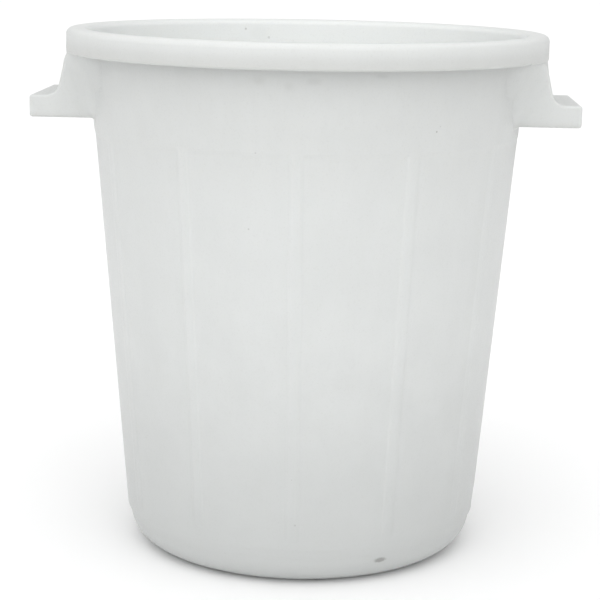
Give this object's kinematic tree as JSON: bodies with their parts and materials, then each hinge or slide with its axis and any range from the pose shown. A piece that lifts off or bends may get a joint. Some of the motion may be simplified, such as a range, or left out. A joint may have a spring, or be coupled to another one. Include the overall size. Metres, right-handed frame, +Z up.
{
  "type": "open head plastic drum",
  "caption": "Round open-topped polyethylene tub, tapered and ribbed, with a rolled rim and a shelf handle on each side, for holding and carrying loose or liquid goods.",
  "frame": {"origin": "on the floor at the tub's axis, the centre of the foot ring", "axes": "+Z up along the axis, +X through one handle, +Y across the handles"},
  "size_m": [0.573, 0.51, 0.556],
  "materials": {
    "natural_polyethylene": "natural milky white polyethylene, satin, slightly translucent, moulded in one piece"
  },
  "bodies": {
    "root": {"base_corner": "natural_polyethylene", "base_panel": "natural_polyethylene", "collar": "natural_polyethylene", "foot_ring": "natural_polyethylene", "gate_boss": "natural_polyethylene", "left_handle_apron": "natural_polyethylene", "left_handle_front_plate": "natural_polyethylene", "left_handle_lip": "natural_polyethylene", "left_handle_rear_plate": "natural_polyethylene", "left_handle_shelf": "natural_polyethylene", "rib_01": "natural_polyethylene", "rib_02": "natural_polyethylene", "rib_03": "natural_polyethylene", "rib_04": "natural_polyethylene", "rib_05": "natural_polyethylene", "rib_06": "natural_polyethylene", "rib_07": "natural_polyethylene", "rib_08": "natural_polyethylene", "rib_09": "natural_polyethylene", "rib_10": "natural_polyethylene", "rib_11": "natural_polyethylene", "rib_12": "natural_polyethylene", "right_handle_apron": "natural_polyethylene", "right_handle_front_plate": "natural_polyethylene", "right_handle_lip": "natural_polyethylene", "right_handle_rear_plate": "natural_polyethylene", "right_handle_shelf": "natural_polyethylene", "rim_inner_roll": "natural_polyethylene", "rim_lip": "natural_polyethylene", "rim_outer_roll": "natural_polyethylene", "tub_wall": "natural_polyethylene"}
  },
  "joints": []
}
